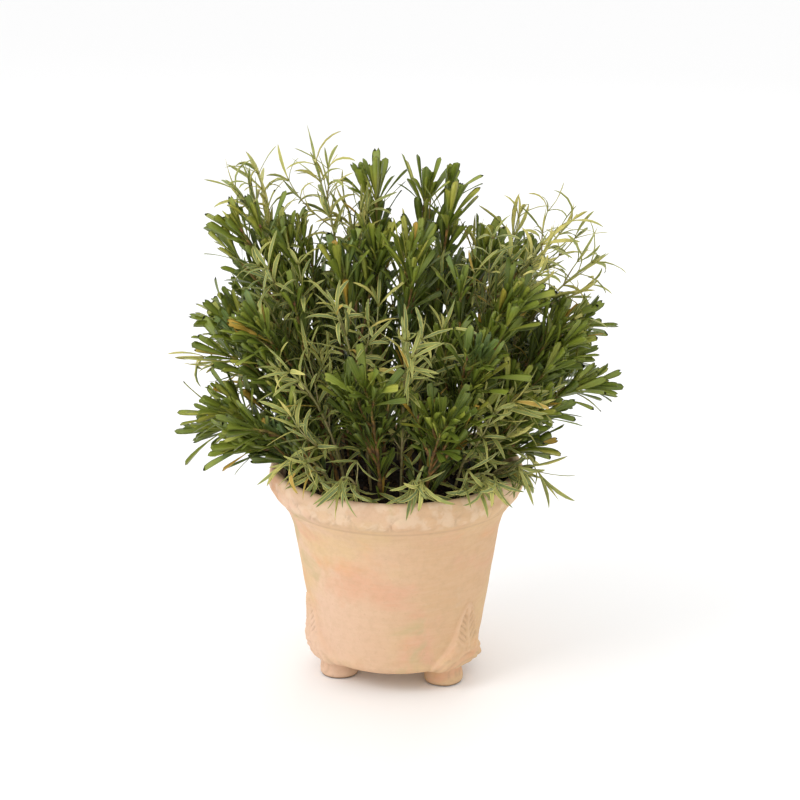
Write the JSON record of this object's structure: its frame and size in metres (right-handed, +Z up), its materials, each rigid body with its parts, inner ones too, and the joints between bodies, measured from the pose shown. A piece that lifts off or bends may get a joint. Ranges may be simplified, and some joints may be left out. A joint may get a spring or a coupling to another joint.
{
  "type": "potted foliage plant",
  "caption": "Bushy evergreen foliage, broad dark shoots among narrow pale ones, growing from soil in a footed terracotta pot with a rolled rim.",
  "frame": {"origin": "on the pot's axis, on the surface that its three feet stand on", "axes": "+Z up along the pot's axis; -Y is the plant's front, +X its right seen from the front"},
  "size_m": [0.3964, 0.3084, 0.4773],
  "materials": {
    "terracotta": "matte",
    "soil": "matte",
    "broad_foliage": "satin",
    "narrow_foliage": "matte"
  },
  "bodies": {
    "root": {"broad_shoot_01": "broad_foliage", "broad_shoot_02": "broad_foliage", "broad_shoot_03": "broad_foliage", "broad_shoot_04": "broad_foliage", "broad_shoot_05": "broad_foliage", "broad_shoot_06": "broad_foliage", "broad_shoot_07": "broad_foliage", "broad_shoot_08": "broad_foliage", "broad_shoot_09": "broad_foliage", "broad_shoot_20": "broad_foliage", "broad_shoot_21": "broad_foliage", "broad_shoot_22": "broad_foliage", "broad_shoot_23": "broad_foliage", "broad_shoot_24": "broad_foliage", "broad_shoot_25": "broad_foliage", "broad_shoot_28": "broad_foliage", "broad_shoot_29": "broad_foliage", "broad_shoot_31": "broad_foliage", "broad_shoot_32": "broad_foliage", "broad_shoot_33": "broad_foliage", "broad_shoot_34": "broad_foliage", "broad_shoot_35": "broad_foliage", "broad_shoot_38": "broad_foliage", "broad_shoot_39": "broad_foliage", "broad_shoot_40": "broad_foliage", "broad_shoot_42": "broad_foliage", "broad_shoot_43": "broad_foliage", "broad_shoot_44": "broad_foliage", "broad_shoot_45": "broad_foliage", "broad_shoot_46": "broad_foliage", "broad_shoot_47": "broad_foliage", "broad_shoot_48": "broad_foliage", "broad_shoot_49": "broad_foliage", "broad_shoot_50": "broad_foliage", "broad_shoot_51": "broad_foliage", "narrow_shoot_10": "narrow_foliage", "narrow_shoot_11": "narrow_foliage", "narrow_shoot_12": "narrow_foliage", "narrow_shoot_13": "narrow_foliage", "narrow_shoot_14": "narrow_foliage", "narrow_shoot_15": "narrow_foliage", "narrow_shoot_16": "narrow_foliage", "narrow_shoot_17": "narrow_foliage", "narrow_shoot_18": "narrow_foliage", "narrow_shoot_19": "narrow_foliage", "narrow_shoot_26": "narrow_foliage", "narrow_shoot_27": "narrow_foliage", "narrow_shoot_30": "narrow_foliage", "narrow_shoot_36": "narrow_foliage", "narrow_shoot_37": "narrow_foliage", "narrow_shoot_41": "narrow_foliage", "narrow_shoot_52": "narrow_foliage", "narrow_shoot_53": "narrow_foliage", "narrow_shoot_54": "narrow_foliage", "narrow_shoot_55": "narrow_foliage", "narrow_shoot_56": "narrow_foliage", "narrow_shoot_57": "narrow_foliage", "pot": "terracotta", "soil": "soil"}
  },
  "joints": []
}
